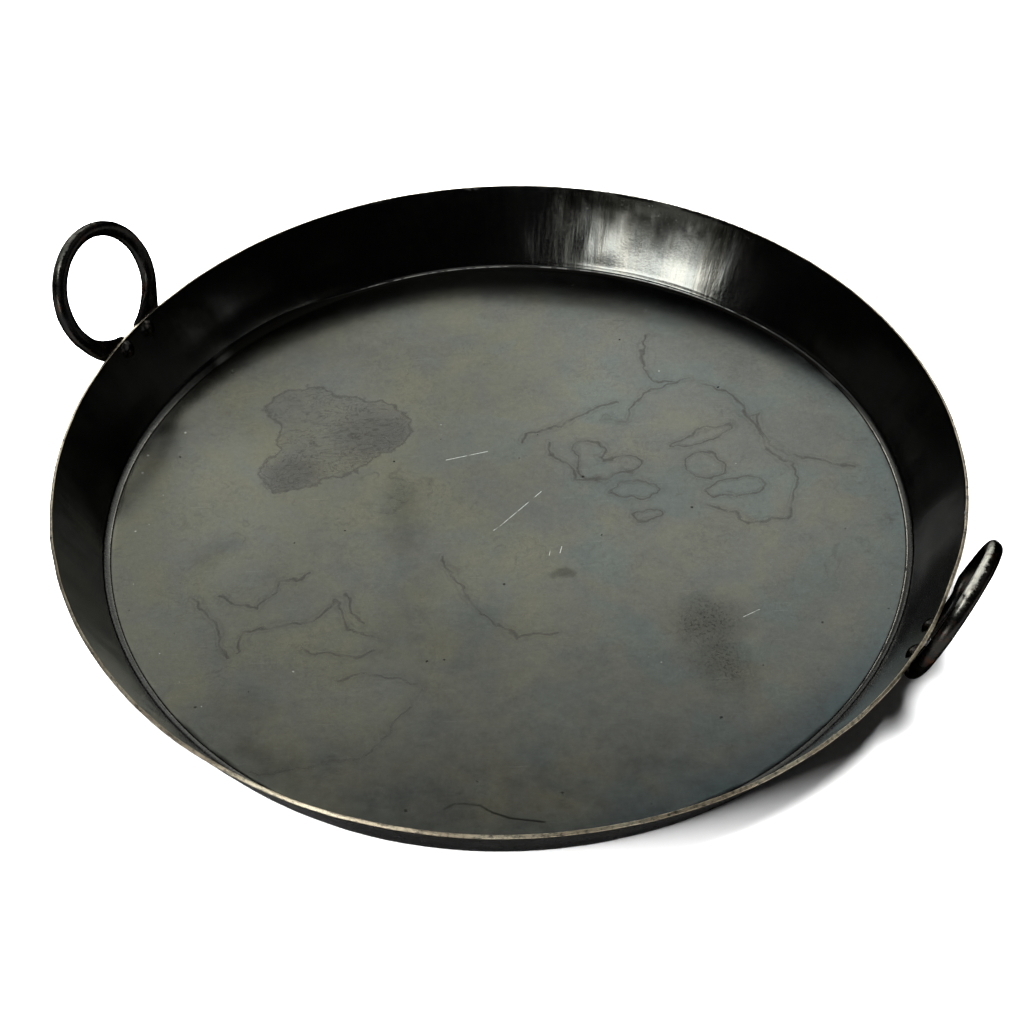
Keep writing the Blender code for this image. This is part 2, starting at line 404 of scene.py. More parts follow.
def build_pan():
    rings = pan_sections()
    counts = [ring.count for ring in rings]
    starts = np.cumsum([0] + counts[:-1]).tolist()
    points = np.concatenate([ring_points(ring) for ring in rings])
    faces = []
    for i in range(len(rings) - 1):
        start, following = starts[i], starts[i + 1]
        if counts[i] == counts[i + 1]:
            faces += strip(start, following, counts[i])
            continue
        # one ring has twice the points of the other
        outward = counts[i] < counts[i + 1]
        coarse, fine = (start, following) if outward else (following, start)
        few = min(counts[i], counts[i + 1])
        for j in range(few):
            after, fine_after = (j + 1) % few, (2 * j + 2) % (2 * few)
            faces += [
                (coarse + j, fine + 2 * j, fine + 2 * j + 1),
                (coarse + j, fine + 2 * j + 1, coarse + after),
                (coarse + after, fine + 2 * j + 1, fine + fine_after),
            ]
    top_middle, low_middle = len(points), len(points) + 1
    count, last = counts[0], starts[-1]
    points = np.concatenate((points, [points[:count].mean(0)], [points[last:].mean(0)]))
    for i in range(count):
        after = (i + 1) % count
        faces.append((top_middle, i, after))
        faces.append((low_middle, last + after, last + i))
    attributes = {}
    for name, values, ends in (
        ("wear", [ring.wear for ring in rings], (0, 0)),
        ("side", [ring.side for ring in rings], (1, 0)),
        ("reach", [ring.radius / MM for ring in rings], (0, 0)),
    ):
        attributes[name] = np.append(np.repeat(values, counts), ends)
    return make_object("dished_pan_sheet", points.tolist(), faces, 38, attributes)


# ---------------------------------------------------------------------- handles
BAR_RADIUS = 4.3 * MM
FOOT_HALF_WIDTH = 6.6 * MM
FOOT_THICKNESS = 3.3 * MM
FOOT_GAP = 0.12 * MM  # between foot and wall
FOOT_END_ANGLE = math.radians(6.0)
BAR_STATIONS, BAR_CORNERS = 220, 48
# each end closes over smaller rings: (size, distance past the end in mm)
END_RINGS = ((0.86, 0.45), (0.55, 0.80), (0.2, 0.92))
# azimuth is the shop azimuth; rise is the ring's middle over the rim, up the
# slope; offset, lean and yaw set its plane against the wall's
HANDLES = {
    "right": {
        "azimuth": math.radians(328.5), "rise": 28.8 * MM, "offset": -4.9 * MM,
        "lean": math.radians(9.1), "yaw": math.radians(-2.1), "radius": 35.2 * MM, "seed": 3,
    },
    "left": {
        "azimuth": math.radians(150.65), "rise": 29.9 * MM, "offset": -0.87 * MM,
        "lean": math.radians(6.0), "yaw": math.radians(1.8), "radius": 34.7 * MM, "seed": 8,
    },
}  # fmt: skip


def rim_frame_to_part(x, y, z):
    """From the rim's own level frame (z = 0 on the rim) to the part frame."""
    lift = RIM_TILT[0] * x + RIM_TILT[1] * y
    part_x, part_y = shop_to_part(x - RIM_TILT[0] * z, y - RIM_TILT[1] * z)
    return np.stack((part_x, part_y, z + RIM_Z + lift), -1)


def wall_to_part(azimuth, across, along, out):
    """From (across, up the slope, outwards) of the wall at an azimuth."""
    radius = RIM_RADIUS + along * ALONG[0] + out * OUT[0]
    z = along * ALONG[1] + out * OUT[1]
    cosine, sine = math.cos(azimuth), math.sin(azimuth)
    return rim_frame_to_part(
        radius * cosine - across * sine, radius * sine + across * cosine, z
    )


def handle_sections(handle):
    """The bar's sections from one foot round the ring to the other, and how
    much each is part of a foot. Angles run from the bottom of the ring."""
    angle = FOOT_END_ANGLE + (2 * np.pi - 2 * FOOT_END_ANGLE) * np.linspace(
        0, 1, BAR_STATIONS + 1
    )
    angle = np.where(angle > np.pi, angle - 2 * np.pi, angle)[:, None]
    around = (2 * np.pi * np.arange(BAR_CORNERS) / BAR_CORNERS)[None, :]
    off = np.abs(angle)
    foot = 1.0 - eased(off, math.radians(29), math.radians(66))
    tip = eased(off, FOOT_END_ANGLE, FOOT_END_ANGLE + math.radians(10))
    seed = handle["seed"]
    # the bar was drawn out by hand, so its thickness wanders a little
    x, y = np.cos(angle) * 5, np.sin(angle) * 5
    swell = 1 + 0.022 * noise3(x, y, 0.0, seed) + 0.005 * noise3(x * 2.5, y * 2.5, 0.0, seed + 1)
    half_width = (BAR_RADIUS + (FOOT_HALF_WIDTH - BAR_RADIUS) * foot) * swell
    half_width = half_width * (0.55 + 0.45 * np.sqrt(tip))
    half_depth = (BAR_RADIUS + (FOOT_THICKNESS / 2 - BAR_RADIUS) * foot) * swell
    half_depth = half_depth * (0.75 + 0.25 * np.sqrt(tip))
    # the section is a superellipse, squarer at the feet
    power = 0.86 - 0.24 * foot
    cosine, sine = np.cos(around), np.sin(around)
    wide = half_width * np.sign(cosine) * np.abs(cosine) ** power
    deep = half_depth * np.sign(sine) * np.abs(sine) ** power
    dimple = 0.010 * noise3(x * 2.0, y * 2.0, sine * 1.3 + cosine, seed + 2)
    dimple = dimple + 0.002 * noise3(x * 6, y * 6, sine * 2 + cosine * 2.2, seed + 3)
    wide, deep = wide * (1 + dimple), deep * (1 + dimple)
    radius = handle["radius"] + 1.2 * MM * foot + wide
    across = radius * np.sin(angle)
    along = handle["rise"] - radius * np.cos(angle)
    up = along - handle["rise"]
    ring_plane = (
        handle["offset"] - np.sin(handle["lean"]) * up + np.sin(handle["yaw"]) * across
    )
    # the feet lie on the dented wall, which curves away to both sides
    dent = wall_dent(handle["azimuth"] + across / RIM_RADIUS, 1 + along / OUTER_RUN)
    fall = -OUT[0] * across**2 / (2 * RIM_RADIUS)
    flat_foot = FOOT_GAP + half_depth + fall + dent
    out = ring_plane * (1 - foot) + flat_foot * foot + deep
    return wall_to_part(handle["azimuth"], across, along, out), foot.ravel()


def build_handle(side):
    points, foot = handle_sections(HANDLES[side])
    vertices = points.reshape(-1, 3).tolist()
    faces = []
    for i in range(BAR_STATIONS):
        faces += strip(i * BAR_CORNERS, (i + 1) * BAR_CORNERS, BAR_CORNERS)
    for end, inward in ((0, 1), (BAR_STATIONS, -1)):
        base = points[end]
        middle = base.mean(0)
        push = middle - points[end + inward].mean(0)
        push = push / np.linalg.norm(push)
        previous = end * BAR_CORNERS
        for size, step in END_RINGS:
            start = len(vertices)
            vertices += (middle + (base - middle) * size + push * step * MM).tolist()
            faces += strip(previous, start, BAR_CORNERS)
            previous = start
        faces.append(list(range(previous, previous + BAR_CORNERS)))
    foot = np.repeat(foot, BAR_CORNERS)
    foot = np.append(foot, np.ones(len(vertices) - foot.size))
    return make_object(f"{side}_ring_handle_bar", vertices, faces, 50, {"foot": foot})


# ----------------------------------------------------------------------- rivets
RIVET_DOWN = 5.8 * MM  # below the rim, down the slope
SHANK = 2.6 * MM  # radius
HOLE_RADIUS = SHANK + 0.15 * MM
HEAD_RADIUS, HEAD_HEIGHT = 5.0 * MM, 2.2 * MM
TAIL_RADIUS, TAIL_HEIGHT = 4.6 * MM, 1.8 * MM
RIVET_LIP = 0.35 * MM
SEAT_GAP = 0.03 * MM
SEAT_OUT = FOOT_GAP + FOOT_THICKNESS + SEAT_GAP
SEAT_IN = -SHEET - SEAT_GAP
DOME_STEPS, RIVET_CORNERS = 11, 56


def rivet_frame(node_name, side):
    """Origin on the wall's outer face, Z out of the pan and square to it."""
    low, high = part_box(node_name)
    middle = (low + high) / 2
    centre = HANDLES[side]["azimuth"]
    shop = math.atan2(middle.y, middle.x) - TURN
    azimuth = centre + (shop - centre + math.pi) % (2 * math.pi) - math.pi
    probe = 3 * MM  # the wall's own slope, dents and all, is felt this far away

    def spot(across, up):
        climb = 1 - RIVET_DOWN / OUTER_RUN + up / OUTER_RUN
        dent = wall_dent(azimuth + across / RIM_RADIUS, climb)
        return Vector(wall_to_part(azimuth, across, -RIVET_DOWN + up, dent))

    upward = (spot(0.0, probe) - spot(0.0, -probe)).normalized()
    sideways = (spot(probe, 0.0) - spot(-probe, 0.0)).normalized()
    outward = sideways.cross(upward).normalized()
    sideways = upward.cross(outward).normalized()
    turned = Matrix((sideways, upward, outward)).transposed().to_4x4()
    return Matrix.Translation(spot(0.0, 0.0)) @ turned


def dome(radius, height, base, up):
    """(radius, z) of a dome from its edge to near its crown; up is 1 or -1."""
    ball = (radius**2 + height**2) / (2 * height)
    half = math.asin(radius / ball)
    found = [(radius - 0.05 * MM, base), (radius, base + up * RIVET_LIP * 0.4)]
    for i in range(1, DOME_STEPS):
        angle = half * (1 - i / DOME_STEPS)
        rise = ball * math.cos(angle) - (ball - height)
        found.append((ball * math.sin(angle), base + up * max(rise, RIVET_LIP * 0.5)))
    return found


def build_rivet(name, frame, seed):
    """A hammered rivet: low dome inside, shank, flatter peened dome outside."""
    seat_middle = 0.5 * (SEAT_OUT + SEAT_IN)
    profile = dome(TAIL_RADIUS, TAIL_HEIGHT, SEAT_OUT, 1)[::-1]
    profile += [(SHANK, SEAT_OUT), (SHANK, seat_middle), (SHANK, SEAT_IN)]
    profile += dome(HEAD_RADIUS, HEAD_HEIGHT, SEAT_IN, -1)
    angle = 2 * np.pi * np.arange(RIVET_CORNERS) / RIVET_CORNERS
    cosine, sine = np.cos(angle), np.sin(angle)
    points = []
    for radius, z in profile:
        radii, heights = np.full(RIVET_CORNERS, radius), np.full(RIVET_CORNERS, z)
        # the domes are uneven and dented; the shank is true
        if radius > SHANK + 0.1 * MM or abs(z) > SEAT_OUT + 0.2 * MM:
            dent = noise3(cosine * radius / 0.0019, sine * radius / 0.0019, z * 300, seed)
            radii = radii * (1 + 0.018 * noise3(cosine * 1.6, sine * 1.6, 0.5, seed + 1))
            if radius < HEAD_RADIUS * 0.97:
                heights = heights + np.sign(z - seat_middle) * dent * 0.07 * MM
        points += np.stack((radii * cosine, radii * sine, heights), -1).tolist()
    tail_tip, head_tip = len(points), len(points) + 1
    points += [[0, 0, SEAT_OUT + TAIL_HEIGHT], [0, 0, SEAT_IN - HEAD_HEIGHT]]
    faces = []
    for i in range(len(profile) - 1):
        faces += strip(i * RIVET_CORNERS, (i + 1) * RIVET_CORNERS, RIVET_CORNERS)
    last = (len(profile) - 1) * RIVET_CORNERS
    for i in range(RIVET_CORNERS):
        after = (i + 1) % RIVET_CORNERS
        faces.append((tail_tip, i, after))
        faces.append((head_tip, last + after, last + i))
    return make_object(name, points, faces, 50, frame=frame)


def drill(targets, frame):
    """Rivet holes through the sheet and a handle's foot."""
    mesh = bpy.data.meshes.new("drill")
    built = bmesh.new()
    bmesh.ops.create_cone(
        built, cap_ends=True, segments=28, radius1=HOLE_RADIUS, radius2=HOLE_RADIUS, depth=18 * MM
    )
    built.to_mesh(mesh)
    built.free()
    cutter = link("drill", mesh)
    cutter.matrix_world = frame
    bpy.context.view_layer.update()
    for target in targets:
        cut = target.modifiers.new("rivet_hole", "BOOLEAN")
        cut.operation = "DIFFERENCE"
        cut.solver = "EXACT"
        cut.object = cutter
        depsgraph = bpy.context.evaluated_depsgraph_get()
        made = bpy.data.meshes.new_from_object(target.evaluated_get(depsgraph))
        target.modifiers.clear()
        old = target.data
        target.data = made
        bpy.data.meshes.remove(old)
    bpy.data.objects.remove(cutter, do_unlink=True)


pan = build_pan()
handles = {side: build_handle(side) for side in ("right", "left")}
rivets = []  # (object, the CAD node it stands for)
for seed, (side, end) in enumerate(
    (("right", "front"), ("right", "rear"), ("left", "front"), ("left", "rear")), start=41
):
    node_name = f"{side}_{end}_rivet"
    frame = rivet_frame(node_name, side)
    rivets.append((build_rivet(f"{side}_{end}_hammered_rivet", frame, seed), node_name))
    drill((pan, handles[side]), frame)


# --------------------------------------------------------------- shader helpers
class Graph:
    """Holds the node tree that the helpers below add to."""

    tree = None


class Value:
    """A node's output. Arithmetic on it adds math nodes, or vector math nodes
    where it is a vector."""

    def __init__(self, socket):
        self.socket = socket

    def combined(self, operation, other):
        is_vector = self.socket.type == "VECTOR"
        return (vector_maths if is_vector else maths)(operation, self, other)

    def __add__(self, other):
        return self.combined("ADD", other)

    def __sub__(self, other):
        return self.combined("SUBTRACT", other)

    def __mul__(self, other):
        return self.combined("MULTIPLY", other)

    def __radd__(self, number):
        return maths("ADD", number, self)

    def __rsub__(self, number):
        return maths("SUBTRACT", number, self)

    def __truediv__(self, other):
        return maths("DIVIDE", self, other)

    def __pow__(self, other):
        return maths("POWER", self, other)

    def __lt__(self, other):
        return maths("LESS_THAN", self, other)

    def __gt__(self, other):
        return maths("GREATER_THAN", self, other)

    def __abs__(self):
        return maths("ABSOLUTE", self)


def start_tree(owner):
    owner.use_nodes = True
    owner.node_tree.nodes.clear()
    Graph.tree = owner.node_tree


def add_node(kind, inputs=None, **settings):
    made = Graph.tree.nodes.new(kind)
    for key, setting in settings.items():
        setattr(made, key, setting)
    for key, fed in (inputs or {}).items():
        socket = made.inputs[key]
        if isinstance(fed, Value):
            Graph.tree.links.new(fed.socket, socket)
        elif socket.type == "RGBA":
            socket.default_value = (*fed, 1.0)
        else:
            socket.default_value = fed
    return made


def value(kind, inputs=None, output=0, **settings):
    """Adds a node and gives one of its outputs."""
    return Value(add_node(kind, inputs, **settings).outputs[output])


def maths(operation, *values):
    return value("ShaderNodeMath", dict(enumerate(values)), operation=operation)


def vector_maths(operation, *values):
    output = "Value" if operation in ("LENGTH", "DISTANCE", "DOT_PRODUCT") else "Vector"
    return value("ShaderNodeVectorMath", dict(enumerate(values)), output, operation=operation)


def clamped(number):
    return maths("MINIMUM", maths("MAXIMUM", number, 0.0), 1.0)


def swing(number, amount):
    """A value from 0 to 1 made to swing about zero, by amount in all."""
    return (number - 0.5) * amount


def scale(vector, factor):
    inputs = {0: vector, "Scale": factor}
    return value("ShaderNodeVectorMath", inputs, "Vector", operation="SCALE")


def ramp(number, low, high, start=0.0, end=1.0):
    """Eases from start to end as the number goes from low to high."""
    inputs = {
        "Value": number, "From Min": low, "From Max": high, "To Min": start, "To Max": end,
    }  # fmt: skip
    return value(
        "ShaderNodeMapRange", inputs, "Result", interpolation_type="SMOOTHSTEP", clamp=False
    )


def fade(number, low, high):
    return ramp(number, low, high, 1.0, 0.0)


def line(distance, half, soft):
    return fade(distance, half, half + soft)


def contours(number, bands, width):
    """Contour lines of a value."""
    return fade(maths("PINGPONG", number * bands, 0.5), 0.0, width)


def mix(base, to, share, blend="MIX"):
    inputs = {0: share, 6: base, 7: to}
    return value("ShaderNodeMix", inputs, 2, data_type="RGBA", blend_type=blend)


def mix_number(base, to, share):
    return value("ShaderNodeMix", {0: share, 2: base, 3: to}, data_type="FLOAT")


def tint(colour, factor):
    """The colour, darkened or lightened by the factor."""
    grey = value("ShaderNodeCombineColor", {0: factor, 1: factor, 2: factor})
    return mix(colour, grey, share=1.0, blend="MULTIPLY")


def split(vector):
    kind = "ShaderNodeSeparateColor" if vector.socket.type == "RGBA" else "ShaderNodeSeparateXYZ"
    return [Value(socket) for socket in add_node(kind, {0: vector}).outputs]


def join(x, y, z):
    return value("ShaderNodeCombineXYZ", {0: x, 1: y, 2: z})


def noise(at, size, detail=3.0, rough=0.5, distort=0.0, colour=False):
    """Noise from 0 to 1 with features about size across; a vector if colour."""
    inputs = {
        "Vector": at, "Scale": 1.0 / size, "Detail": detail, "Roughness": rough,
        "Distortion": distort,
    }  # fmt: skip
    made = value("ShaderNodeTexNoise", inputs, "Color" if colour else "Fac")
    return join(*split(made)) if colour else made


def cells(at, spacing):
    """Distance to the nearest scattered point, and two random values of it."""
    made = add_node("ShaderNodeTexVoronoi", {"Vector": at, "Scale": 1.0 / spacing})
    pick, size, _ = split(Value(made.outputs["Color"]))
    return Value(made.outputs["Distance"]), pick, size


def spots(at, spacing, width, need):
    """Scattered spots, where the random pick is over need."""
    distance, pick, size = cells(at, spacing)
    return (distance < size * width) * (pick > need)


def stretched(vector, turn, x, y):
    """The vector turned about Z by degrees and squeezed, for streaks."""
    inputs = {"Vector": vector, "Rotation": (0.0, 0.0, math.radians(turn)), "Scale": (x, y, 1.0)}
    return value("ShaderNodeMapping", inputs, vector_type="POINT")


def attribute(name):
    return value("ShaderNodeAttribute", output="Fac", attribute_name=name)


def ellipse(at, shape):
    """Signed distance to an oval (x, y, half length, half width, degrees)."""
    x, y, long, wide, degrees = shape
    inputs = {
        "Vector": at, "Location": (x, y, 0.0), "Rotation": (0.0, 0.0, math.radians(degrees)),
        "Scale": (long, wide, 1.0),
    }  # fmt: skip
    local = value("ShaderNodeMapping", inputs, vector_type="TEXTURE")
    length = vector_maths("LENGTH", local)
    slant = vector_maths("LENGTH", local * (1 / long, 1 / wide, 1.0))
    return (length - 1.0) * length / maths("MAXIMUM", slant, 1e-4)


def blobs(at, shapes, blend):
    """Signed distance to ovals that melt together."""
    ovals = [ellipse(at, shape) for shape in shapes]
    return reduce(lambda total, oval: maths("SMOOTH_MIN", total, oval, blend), ovals)


def segment_distance(at, start, end):
    (start_x, start_y), (end_x, end_y) = start, end
    x, y = end_x - start_x, end_y - start_y
    square = x * x + y * y
    away = at - (start_x, start_y, 0.0)
    share = vector_maths("DOT_PRODUCT", away, (x / square, y / square, 0.0))
    return vector_maths("DISTANCE", away, scale((x, y, 0.0), clamped(share + 0.0)))


def strokes(at, lines):
    """Distance to a set of bent lines."""
    found = [segment_distance(at, *ends) for bent in lines for ends in zip(bent, bent[1:])]
    return reduce(lambda total, each: maths("MINIMUM", total, each), found)


def cosine_from(azimuth, degrees):
    return maths("COSINE", azimuth - math.radians(degrees))


def toward(azimuth, degrees, low, high):
    """A sector round the given azimuth; low and high are cosines off it."""
    return ramp(cosine_from(azimuth, degrees), low, high)


def shop_millimetres():
    """Object coordinates in millimetres, turned to the shop axes."""
    inputs = {"Vector": value("ShaderNodeTexCoord", output="Object"), "Angle": -TURN}
    return scale(value("ShaderNodeVectorRotate", inputs, rotation_type="Z_AXIS"), 1000.0)


def shop_axes():
    position = shop_millimetres()
    return position, *split(position)


def principled(colour, rough, metal=1.0, bump=None, strength=1.0, depth=0.0, **more):
    inputs = {"Base Color": colour, "Roughness": rough, "Metallic": metal}
    inputs.update({key.replace("_", " "): fed for key, fed in more.items()})
    if bump is not None:
        relief = {"Strength": strength, "Distance": depth, "Height": bump}
        inputs["Normal"] = value("ShaderNodeBump", relief, "Normal")
    return value("ShaderNodeBsdfPrincipled", inputs)


def new_material(name, shader_of):
    material = bpy.data.materials.new(name)
    start_tree(material)
    add_node("ShaderNodeOutputMaterial", {"Surface": shader_of()})
    return material


# ------------------------------------------------------------ marks on the floor
# In millimetres on the shop axes: bent lines, as their (x, y) points
TIDE_LINES = (
    ((23, 65), (25, 54), (37, 42), (38, 31), (54, 31)),
    ((115, 112), (130, 103), (141, 80), (143, 70), (153, 49), (162, 39),
     (164, 25), (160, 8), (154, -4), (133, -6), (126, 2), (111, 9)),
    ((8, 66), (23, 75), (64, 96)),
    ((56, 81), (69, 79), (80, 102), (101, 114)),
    ((89, 156), (82, 149), (81, 136), (88, 113), (108, 115)),
    ((141, 80), (148, 83), (144, 70), (159, 48), (195, 37)),
    ((-162, -48), (-138, -60), (-127, -41), (-112, -34)),
    ((-149, -89), (-146, -76), (-131, -72), (-110, -72), (-95, -55)),
    ((-95, -55), (-90, -76), (-70, -85)),
    ((-91, -51), (-81, -73)),
    ((-114, -90), (-87, -96), (-76, -93)),
    ((-94, -113), (-81, -108), (-52, -116)),
    ((-135, -173), (-105, -170), (-75, -161), (-47, -120)),
    ((-173, -51), (-161, -69), (-154, -92)),
    ((-39, -23), (-28, -46), (-20, -65), (4, -87), (23, -82)),
)  # fmt: skip
HAIRLINE = (
    ((-37, -199), (-32, -196), (-27, -196), (-19, -197.5), (-13, -202), (-4, -206),
     (13, -209)),
)  # fmt: skip
BRIGHT_CUTS = (
    ((-9.5, -5.5), (-6.5, -3), (18, 24)), ((21, -26), (22.2, -20)),
    ((27, -24.5), (28.2, -19.5)), ((-36, 52), (-12, 58)), ((124, -76), (133, -71)),
)  # fmt: skip
# ovals: (x, y, half length, half width, degrees)
TIDE_RINGS = (
    (47, 57, 9, 7, -20), (46, 44, 7, 12, 0), (60, 42, 16, 7, 12),
    (71, 24, 13.5, 7.5, 0), (77, 3, 7.5, 3.6, 15), (113, 66, 19, 4.6, 20),
    (111, 41, 11, 9.5, 0), (129, 23, 17, 7, 6),
)  # fmt: skip
LARGE_PATCH = (
    (-99, 78, 36, 28, 20), (-80, 80, 23, 22, 0), (-121, 101, 21, 16, 10),
    (-124, 46, 19, 15, 0), (-104, 60, 34, 20, 22),
)  # fmt: skip
HOT_PLACE = ((103, -80, 23, 21, 0), (112, -106, 18, 26, 18))
# ovals, then where the edge of each starts and ends to fade
DEEP_PATCH = (((-76, 74, 24, 22, 0), -14, 10), ((-126, 42, 17, 14, 20), -8, 8))
# the same, then the strength
DARK_PLACES = (
    ((28, -39, 6, 3.6, 5), -3, 1.5, 0.30),
    ((-30, 45, 70, 60, 0), -45, 30, 0.08),
    ((-20, 135, 66, 44, 0), -30, 24, 0.10),
    ((-164, -15, 17, 9, 38), -10, 8, 0.14),
    ((-60, 8, 9, 30, 4), -9, 9, 0.16),
    ((-58, -62, 12, 34, -20), -12, 14, 0.10),
    ((-30, -85, 30, 24, 30), -20, 18, 0.09),
    ((-128, -165, 20, 6, -36), -7, 9, 0.24),
    ((-140, -130, 20, 14, 0), -12, 10, 0.10),
    ((68, -172, 9, 6, 0), -5, 6, 0.14),
    ((-100, 150, 30, 10, -14), -9, 9, 0.05),
)
LIGHT_PLACES = (
    ((-92, -128, 44, 26, 8), -22, 8, 0.09),
    ((-160, 20, 34, 62, 0), -26, 20, 0.16),
    ((60, 130, 60, 24, -10), -20, 18, 0.05),
    ((150, 20, 34, 60, 0), -26, 20, 0.02),
    ((-178, 70, 14, 40, 0), -10, 12, 0.06),
    ((20, -150, 110, 30, 0), -26, 12, 0.06),
)
HALF = (0.5, 0.5, 0.5)


# -------------------------------------------------------------------- materials
def tide_marks(flat, bent):
    """Lines left by drying water and oil, and the soft halo along them."""
    worn = ramp(noise(flat + (70.0, 210.0, 0.0), size=13, detail=2), low=0.36, high=0.58)
    distance = strokes(bent, TIDE_LINES)
    lines = line(distance, half=0.0, soft=1.5) * (worn * 0.6 + 0.4)
    lines += line(abs(distance - 2.6), half=0.05, soft=0.8) * 0.22
    nearest = maths("MINIMUM", distance, abs(blobs(bent, TIDE_RINGS, blend=1.2)))
    halo = line(nearest, half=0.5, soft=5.0)
    rings = blobs(bent, TIDE_RINGS, blend=1.2)
    lines += line(abs(rings), half=0.0, soft=1.35) * (worn * 0.4 + 0.6)
    lines += line(abs(rings + 1.9), half=0.05, soft=0.7) * 0.35
    lines += line(abs(rings - 2.2), half=0.05, soft=0.8) * 0.2
    ghost = contours(noise(bent, size=46, distort=0.5), bands=5.0, width=0.035)
    ghost = ghost * ramp(noise(flat, size=60, detail=1), low=0.5, high=0.62)
    return lines + ghost * 0.35, halo


def sheet_floor():
    """The floor of the pan: blued and oiled iron, with the tide lines, stains,
    specks and scratches that use has given it."""
    position, x, y, _ = shop_axes()
    flat = join(x, y, 0.0)
    radius = vector_maths("LENGTH", flat)
    reach = attribute("reach")
    heading = cosine_from(maths("ARCTAN2", y, x), degrees=-22)

    bend_broad = noise(flat, size=13, detail=2, colour=True)
    bend_fine = noise(flat, size=4.2, detail=2, rough=0.55, colour=True)
    warp = scale(bend_broad - HALF, 12.0) + scale(bend_fine - HALF, 2.6)
    bent = flat + warp * (1.0, 1.0, 0.0)
    lines, halo = tide_marks(flat, bent)

    # the large patch at the back left, with its ragged edge and inner ripples
    ragged = (noise(flat, size=8, rough=0.6, colour=True) - HALF) * (13.0, 13.0, 0.0)
    patch = blobs(flat + ragged, LARGE_PATCH, blend=4.0)
    patch_in = fade(patch, low=-3.0, high=0.4)
    lines += line(abs(patch), half=0.0, soft=1.7) * 0.80
    swirl = noise(stretched(flat, turn=24, x=0.45, y=1.0), size=9, rough=0.6, distort=0.8)
    lines += contours(swirl, bands=8.0, width=0.22) * patch_in * 0.55
    wisp = noise(bent + (0.0, 500.0, 0.0), size=15, detail=4, rough=0.55, distort=1.2)
    wisp = contours(wisp, bands=7.0, width=0.20)
    wisp = wisp * ramp(noise(flat, size=38, detail=2), low=0.40, high=0.62)
    lines = clamped(lines + wisp * 0.34)
    deep = [fade(ellipse(flat, shape), low, high) for shape, low, high in DEEP_PATCH]
    patch_tint = patch_in * (0.25 + clamped(deep[0] + deep[1]) * 0.75)

    # soft darker places
    mid = noise(flat, size=34, detail=4, rough=0.55, distort=0.6)
    small = noise(flat, size=9, detail=5, rough=0.6)
    loose = swing(small, 15)
    hot = fade(blobs(flat, HOT_PLACE, blend=6.0) + swing(mid, 26), low=-20, high=9)
    speckle = ramp(noise(flat, size=1.7, rough=0.65), low=0.50, high=0.64)
    dark = hot * (0.24 + speckle * 0.30)
    for shape, low, high, amount in DARK_PLACES:
        dark += fade(ellipse(flat, shape) + loose, low, high) * amount

    # the shade of the floor, as a factor
    big = noise(flat, size=95, detail=2)
    tiny = noise(position, size=1.1, rough=0.6)
    shade = 0.760 + swing(big, 0.24)
    shade += swing(mid, 0.36)
    shade += swing(small, 0.34)
    shade += swing(tiny, 0.26)
    shade += swing(noise(flat, size=3.0, rough=0.6), 0.26)
    for turn, size, amount in ((20, 3.0, 0.04), (-65, 3.4, 0.03)):
        rubbed = stretched(flat, turn, x=0.10, y=1.2)
        shade += swing(noise(rubbed, size, rough=0.6), amount)
    for shape, low, high, amount in LIGHT_PLACES:
        shade += fade(ellipse(flat, shape) + swing(mid, 30), low, high) * amount
    shade *= clamped(1.0 - dark)
    shade *= 1.0 - lines * 0.125
    shade *= 1.0 - halo * 0.05
    shade *= 1.0 - patch_tint * 0.13

    # specks and a dark hairline
    distance, pick, size = cells(flat + scale(bend_fine, 1.5), spacing=9.0)
    dots = (distance < size**3.0 * 0.11) * (pick > 0.45)
    shade *= 1.0 - dots * 0.55
    crack = line(strokes(flat, HAIRLINE), half=0.18, soft=0.8)
    crack = crack * ramp(x, low=-24, high=-10, start=0.55, end=1.0)
    shade *= 1.0 - crack * 0.72

    # its colour
    olive = fade(x, low=-40, high=130) * 0.55 + (swing(mid, 2.6) + swing(big, 1.6))
    tone = mix((0.1400, 0.1480, 0.1310), to=(0.1560, 0.1570, 0.1170), share=clamped(olive))
    cool = noise(flat + (300.0, 40.0, 0.0), size=42, distort=0.4)
    cool = ramp(cool, low=0.50, high=0.66) * ramp(x, low=-70, high=60, start=0.3)
    tone = mix(tone, to=(0.1260, 0.1520, 0.1420), share=cool * 0.6)
    edge = ramp(radius + loose * 2.0, low=198, high=217) * ramp(heading, low=0.15, high=0.75)
    tone = mix(tone, to=(0.110, 0.140, 0.138), share=edge * 0.45)
    front = ramp(radius, low=196, high=218) * ramp(heading, low=0.35, high=0.8)
    front = front * ramp(y, low=-60, high=-130)
    tone = mix(tone, to=(0.060, 0.085, 0.095), share=front * 0.45)
    # painted shade: the back wall's dark reflection, drawn wider in dark teal along the floor's back
    # edge
    painted_back_shade = ramp(reach + loose * 0.6, low=200, high=211)
    painted_back_shade = painted_back_shade * toward(maths("ARCTAN2", y, x), degrees=76, low=0.62, high=0.86)
    tone = mix(tone, to=(0.022, 0.030, 0.030), share=painted_back_shade * 0.62)
    tone = mix(tone, to=(0.141, 0.140, 0.134), share=patch_tint * 0.6)
    tone = mix(tone, to=(0.138, 0.133, 0.122), share=lines * 0.6)
    tone = mix(tone, to=(0.140, 0.138, 0.112), share=hot * 0.4)
    tone = tint(tone, shade)

